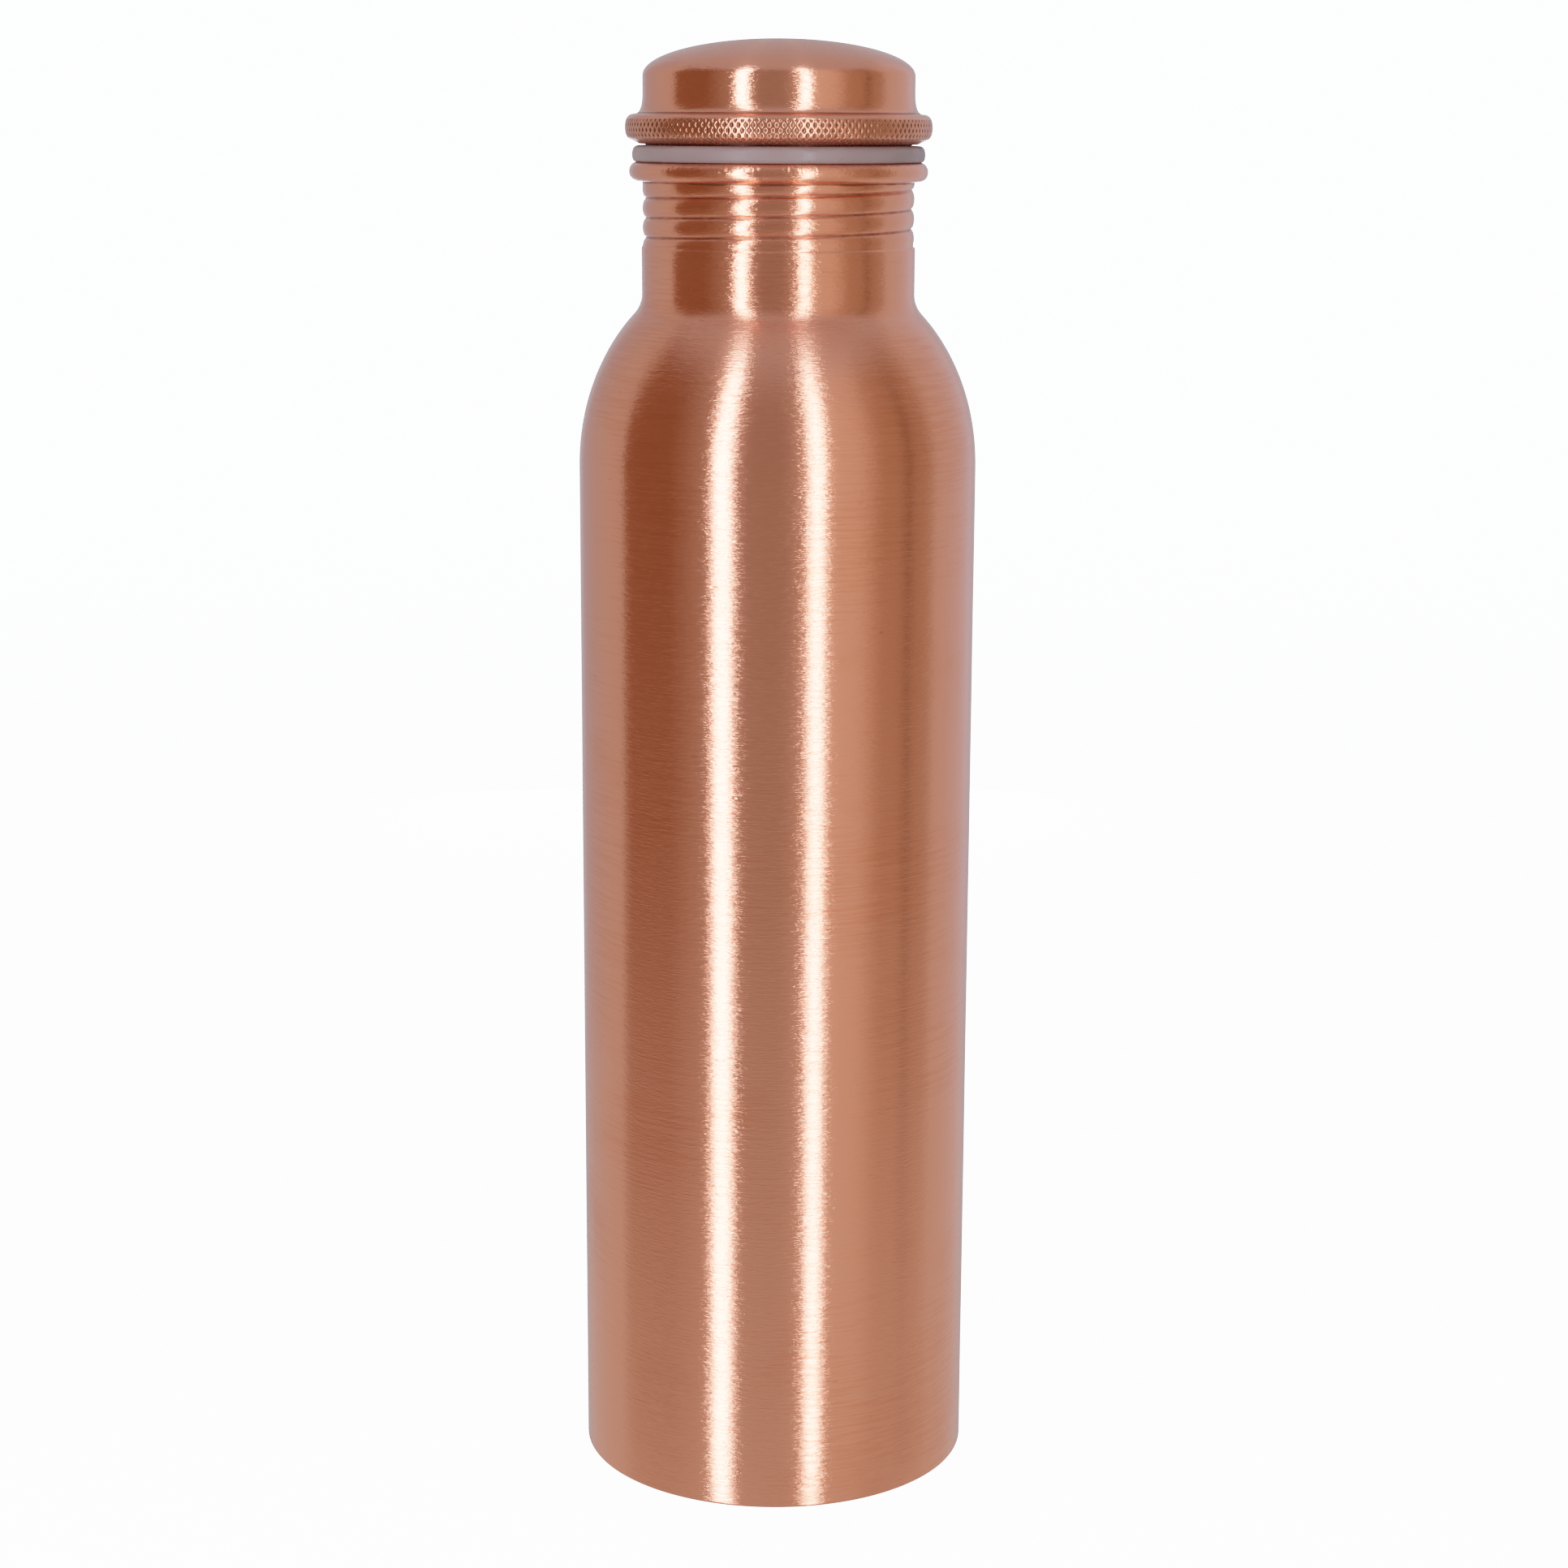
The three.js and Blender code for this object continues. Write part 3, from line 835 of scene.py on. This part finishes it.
def build_gasket(lid, material):
    """The silicone ring: flat seats, a tight lower corner and a wide upper one, its top edge a little
    ragged from trimming."""
    bottom, top = 0.04 * MM, lid.gasket_top
    outer, inner = GASKET_HIGH.x, lid.gasket_inner
    middle = 0.45 * top
    corner = 0.3 * MM
    seat_low, seat_top = outer - 0.7 * MM, outer - 1.4 * MM
    outline = joined(
        straight((inner + corner, bottom), (seat_low, bottom), 6),
        bend((seat_low, bottom), (outer, bottom), (outer, middle), 14),
        bend((outer, middle), (outer, top), (seat_top, top), 14),
        straight((seat_top, top), (inner + corner, top), 6),
        bend((inner + corner, top), (inner, top), (inner, top - corner), 4),
        straight((inner, top - corner), (inner, bottom + corner), 3),
        bend((inner, bottom + corner), (inner, bottom), (inner + corner, bottom), 4),
    )[:-1] + from_mouth(0, 0)

    def relief(theta, radius, height, run, outward, ring):
        rim = smooth(height, MOUTH_Z + 1.9 * MM, MOUTH_Z + 2.6 * MM) * (outward[:, 0] > 0.2)
        ragged = np.cos(17 * theta + 1) * np.cos(5 * theta) + 0.6 * np.cos(41 * theta + 2)
        return 0.03 * MM * ragged * rim, np.zeros(len(theta))

    piece = turned("gasket_ring", outline, np.full(len(outline), 2 * ROUND), relief)
    finish_piece(piece, "lid_gasket", "gasket", material)


# Studio -------------------------------------------------------------------------------------------


def grid_mesh(name, points):
    """A mesh from a grid of points, rows by columns."""
    rows, columns = points.shape[:2]
    index = np.arange(rows * columns).reshape(rows, columns)
    quads = np.stack([index[:-1, :-1], index[:-1, 1:], index[1:, 1:], index[1:, :-1]], axis=-1).reshape(-1, 4)
    mesh = bpy.data.meshes.new(name)
    mesh.from_pydata(points.reshape(-1, 3).tolist(), [], quads.tolist())
    mesh.shade_smooth()
    stage_piece = bpy.data.objects.new(name, mesh)
    bpy.context.scene.collection.objects.link(stage_piece)
    return stage_piece


def build_floor():
    """A pale sheet that fades out into the backdrop, and isn't there from below or in reflections."""
    across = np.linspace(-1.6, 1.6, 9)
    y, x = np.meshgrid(across, across, indexing="ij")
    floor = grid_mesh("studio_floor", np.stack([x, y, np.full_like(x, -0.02 * MM)], axis=-1))
    floor.visible_glossy = False
    material, w = new_material("floor_paper")
    paper = w.add("ShaderNodeBsdfPrincipled")
    w.feed(paper.inputs["Base Color"], (0.62, 0.615, 0.61, 1))
    w.feed(paper.inputs["Roughness"], 0.9)
    w.feed(paper.inputs["Specular IOR Level"], 0.1)
    lift = w.add("ShaderNodeEmission")
    w.feed(lift.inputs["Color"], (1, 1, 1, 1))
    path = w.add("ShaderNodeLightPath")
    w.feed(lift.inputs["Strength"], w.math("MULTIPLY", path.outputs["Is Camera Ray"], 3.4))
    both = w.add("ShaderNodeAddShader")
    w.feed(both.inputs[0], paper.outputs[0])
    w.feed(both.inputs[1], lift.outputs[0])
    gone = w.add("ShaderNodeBsdfTransparent")
    far = w.add("ShaderNodeVectorMath", operation="LENGTH")
    w.feed(far.inputs[0], w.object_place())
    faded = w.math("MULTIPLY", w.ramp(far.outputs["Value"], 0.35, 1.5), path.outputs["Is Camera Ray"])
    seen_from_below = w.add("ShaderNodeNewGeometry").outputs["Backfacing"]
    mixed = w.add("ShaderNodeMixShader")
    w.feed(mixed.inputs[0], w.math("MAXIMUM", faded, seen_from_below))
    w.feed(mixed.inputs[1], both.outputs[0])
    w.feed(mixed.inputs[2], gone.outputs[0])
    finish_material(w, mixed)
    floor.data.materials.append(material)


# Tones of the card screen round the front of the bottle: degrees from the camera's side, with + to the
# camera's right, and colour.
SCREEN_TONES = (
    (-150, (0.56, 0.57, 0.66)),
    (-112, (0.70, 0.70, 0.70)),
    (-97, (0.70, 0.67, 0.64)),
    (-94, (0.32, 0.18, 0.10)),
    (-62, (0.30, 0.17, 0.09)),
    (-46, (0.44, 0.36, 0.29)),
    (-12, (0.41, 0.37, 0.33)),
    (4, (0.41, 0.37, 0.33)),
    (31, (1.0, 0.92, 0.84)),
    (46, (0.96, 0.86, 0.76)),
    (60, (0.54, 0.42, 0.31)),
    (75.5, (0.52, 0.41, 0.30)),
    (78, (0.06, 0.04, 0.03)),
    (80.5, (0.48, 0.38, 0.28)),
    (94, (0.52, 0.44, 0.35)),
    (100, (0.74, 0.73, 0.71)),
    (150, (0.80, 0.86, 1.05)),
)


def build_screen():
    """A curved card screen that only reflections see. Its tones change round the bottle, and evenly pale
    card takes over towards the floor."""
    first_degrees, last_degrees = SCREEN_TONES[0][0], SCREEN_TONES[-1][0]
    first, last = math.radians(first_degrees), math.radians(last_degrees)
    reach, bottom, top = 0.43, -0.5, 0.62
    angle, height = np.meshgrid(np.linspace(first, last, 91), np.linspace(bottom, top, 9), indexing="ij")
    points = np.stack([reach * np.sin(angle), -reach * np.cos(angle), height], axis=-1)
    screen = grid_mesh("card_screen", points)
    for ray in ("camera", "diffuse", "transmission", "volume_scatter", "shadow"):
        setattr(screen, "visible_" + ray, False)
    material, w = new_material("card_tones")
    parts = w.add("ShaderNodeSeparateXYZ")
    w.feed(parts.inputs[0], w.object_place())
    turn = w.math("ARCTAN2", parts.outputs[0], w.math("MULTIPLY", parts.outputs[1], -1.0))
    place = w.add("ShaderNodeMapRange")
    for name, value in (("Value", turn), ("From Min", first), ("From Max", last)):
        w.feed(place.inputs[name], value)
    ramp = w.add("ShaderNodeValToRGB")
    w.feed(ramp.inputs[0], place.outputs["Result"])
    stops = ramp.color_ramp.elements
    while len(stops) < len(SCREEN_TONES):
        stops.new(0.5)
    for stop, (degrees, tone) in zip(stops, SCREEN_TONES):
        stop.position = (degrees - first_degrees) / (last_degrees - first_degrees)
        stop.color = (*tone, 1)
    low = w.ramp(parts.outputs[2], -0.17, 0.06, 0.8, 0.0)
    glow = w.add("ShaderNodeEmission")
    w.feed(glow.inputs["Color"], w.mix(low, ramp.outputs[0], (0.82, 0.81, 0.77, 1)))
    w.feed(glow.inputs["Strength"], 1.0)
    finish_material(w, glow)
    screen.data.materials.append(material)


# The lamps: name, degrees from the camera's side as above, width, distance from the axis, height, height
# of its middle, and its share of the strips' brightness.
STRIPS = (
    ("strip_left", -30.4, 0.054, 0.40, 1.07, 0.215, 1.0),
    ("strip_right", 21.8, 0.039, 0.40, 1.07, 0.215, 1.0),
    ("strip_back_left", -170, 0.05, 0.60, 0.60, -0.10, 0.3),
    ("strip_back_right", 173, 0.05, 0.60, 0.60, -0.10, 0.3),
)


def strip_light(name, azimuth, width, reach, height, middle, brightness):
    """A tall rectangular lamp facing the axis. It reaches below the floor, which reflections don't see.
    Brightness is its radiance."""
    lamp = bpy.data.lights.new(name, "AREA")
    lamp.shape = "RECTANGLE"
    lamp.size, lamp.size_y = width, height
    lamp.color = (0.90, 1.0, 1.15)
    lamp.energy = brightness * math.pi * width * height
    holder = bpy.data.objects.new(name, lamp)
    bpy.context.scene.collection.objects.link(holder)
    angle = math.radians(azimuth)
    outwards = Vector((math.sin(angle), -math.cos(angle), 0))
    holder.location = outwards * reach + Vector((0, 0, middle))
    holder.rotation_mode = "QUATERNION"
    holder.rotation_quaternion = outwards.to_track_quat("Z", "Y")
    holder.visible_camera = False


def build_world(look):
    """An even pale room for reflections, and a white backdrop for the camera."""
    world = bpy.data.worlds.new("studio")
    bpy.context.scene.world = world
    world.use_nodes = True
    world.node_tree.nodes.clear()
    w = Wiring(world.node_tree)
    room = w.add("ShaderNodeBackground")
    w.feed(room.inputs["Color"], (0.98, 1.03, 1.14, 1))
    seen = w.add("ShaderNodeLightPath").outputs["Is Camera Ray"]
    strength = w.math("MULTIPLY_ADD", seen, look.backdrop - look.surround, look.surround)
    w.feed(room.inputs["Strength"], strength)
    w.feed(w.add("ShaderNodeOutputWorld").inputs["Surface"], room.outputs[0])


def build_tone():
    """A film-like response on each channel, shown = 1 - exp(-light), so highlights turn creamy."""
    view = bpy.context.scene.view_settings
    view.view_transform = "Standard"
    view.look = "None"
    view.use_curve_mapping = True
    mapping = view.curve_mapping
    brightest = 5.0
    mapping.white_level = (brightest, brightest, brightest)
    curve = mapping.curves[3]
    for light in (0.06, 0.15, 0.3, 0.5, 0.8, 1.2, 1.8, 2.6, 3.6):
        curve.points.new(light / brightest, 1 - math.exp(-light))
    curve.points[0].location = (0, 0)
    curve.points[len(curve.points) - 1].location = (1, 1 - math.exp(-brightest))
    mapping.update()


def build_camera():
    """The camera stands in front of the bottle, looking down on it a little."""
    reach, height, pitch, roll = 0.5698, 0.2522, math.radians(12.11), math.radians(0.23)
    camera = bpy.data.cameras.new("camera")
    holder = bpy.data.objects.new("camera", camera)
    bpy.context.scene.collection.objects.link(holder)
    forward = Vector((0, math.cos(pitch), -math.sin(pitch)))
    level = Vector((1, 0, 0))
    up = level.cross(forward)
    right = level * math.cos(roll) + up * math.sin(roll)
    over = up * math.cos(roll) - level * math.sin(roll)
    turn = Matrix((right, over, -forward)).transposed()
    holder.matrix_world = Matrix.Translation((0, -reach, height)) @ turn.to_4x4()
    camera.sensor_width = 36
    camera.lens = 70.92
    camera.shift_x = 0.005
    camera.clip_start, camera.clip_end = 0.01, 50
    bpy.context.scene.camera = holder


# Operators ----------------------------------------------------------------------------------------


class BOTTLE_OT_wall(bpy.types.Operator):
    """Build the bottle's wall with its shoulder, thread and curled mouth"""

    bl_idname = "copper_bottle.wall"
    bl_label = "Bottle wall"

    def execute(self, context):
        look = context.scene.copper_look
        build_wall(context.scene.copper_wall, context.scene.copper_thread, copper("brushed_wall", look))
        return {"FINISHED"}


class BOTTLE_OT_base(bpy.types.Operator):
    """Build the dished base plate"""

    bl_idname = "copper_bottle.base"
    bl_label = "Base plate"

    def execute(self, context):
        look = context.scene.copper_look
        material = copper("spun_base", look, polish=-0.04, cover=0.75, marks=0.06, oxide=0.6)
        build_base(context.scene.copper_wall, material)
        return {"FINISHED"}


class BOTTLE_OT_lid(bpy.types.Operator):
    """Build the lid's outer shell and its threaded cup"""

    bl_idname = "copper_bottle.lid"
    bl_label = "Lid"

    def execute(self, context):
        scene = context.scene
        look = scene.copper_look
        shell = copper("brushed_lid", look, polish=0.02, cover=0.4, oxide=0.7)
        build_cap(scene.copper_wall.sheet, scene.copper_lid, shell)
        cup = copper("plain_cup", look, polish=-0.03, cover=0.8, marks=0.05, oxide=0.55)
        build_plug(scene.copper_wall, scene.copper_thread, scene.copper_lid, cup)
        return {"FINISHED"}


class BOTTLE_OT_gasket(bpy.types.Operator):
    """Build the silicone gasket"""

    bl_idname = "copper_bottle.gasket"
    bl_label = "Gasket"

    def execute(self, context):
        build_gasket(context.scene.copper_lid, silicone("milky_silicone", context.scene.copper_look))
        return {"FINISHED"}


class BOTTLE_OT_studio(bpy.types.Operator):
    """Build the floor, lights, backdrop and camera"""

    bl_idname = "copper_bottle.studio"
    bl_label = "Studio"

    def execute(self, context):
        look = context.scene.copper_studio
        build_floor()
        build_screen()
        build_world(look)
        build_tone()
        for *place, strength in STRIPS:
            strip_light(*place, strength * look.strip_light)
        build_camera()
        return {"FINISHED"}


class BOTTLE_PT_panel(bpy.types.Panel):
    """Sizes, colours and the buttons that build each piece"""

    bl_label = "Copper bottle"
    bl_idname = "BOTTLE_PT_panel"
    bl_space_type = "VIEW_3D"
    bl_region_type = "UI"
    bl_category = "Copper"

    def draw(self, context):
        for operator in OPERATORS:
            self.layout.operator(operator.bl_idname)
        for title in SETTINGS:
            box = self.layout.box()
            group = getattr(context.scene, title)
            for name in group.bl_rna.properties.keys():
                if name not in ("rna_type", "name"):
                    box.prop(group, name)


OPERATORS = (BOTTLE_OT_wall, BOTTLE_OT_base, BOTTLE_OT_lid, BOTTLE_OT_gasket, BOTTLE_OT_studio)
SETTINGS = {
    "copper_wall": WallSizes,
    "copper_thread": ThreadSizes,
    "copper_lid": LidSizes,
    "copper_look": CopperLook,
    "copper_studio": StudioLook,
}


def register():
    for cls in (*SETTINGS.values(), *OPERATORS, BOTTLE_PT_panel):
        bpy.utils.register_class(cls)
    for title, group in SETTINGS.items():
        setattr(bpy.types.Scene, title, bpy.props.PointerProperty(type=group))


def unregister():
    for title in SETTINGS:
        delattr(bpy.types.Scene, title)
    for cls in (BOTTLE_PT_panel, *OPERATORS, *SETTINGS.values()):
        bpy.utils.unregister_class(cls)


def main():
    register()
    bpy.ops.copper_bottle.wall()
    bpy.ops.copper_bottle.base()
    bpy.ops.copper_bottle.lid()
    bpy.ops.copper_bottle.gasket()
    bpy.ops.copper_bottle.studio()


if __name__ == "__main__":
    main()
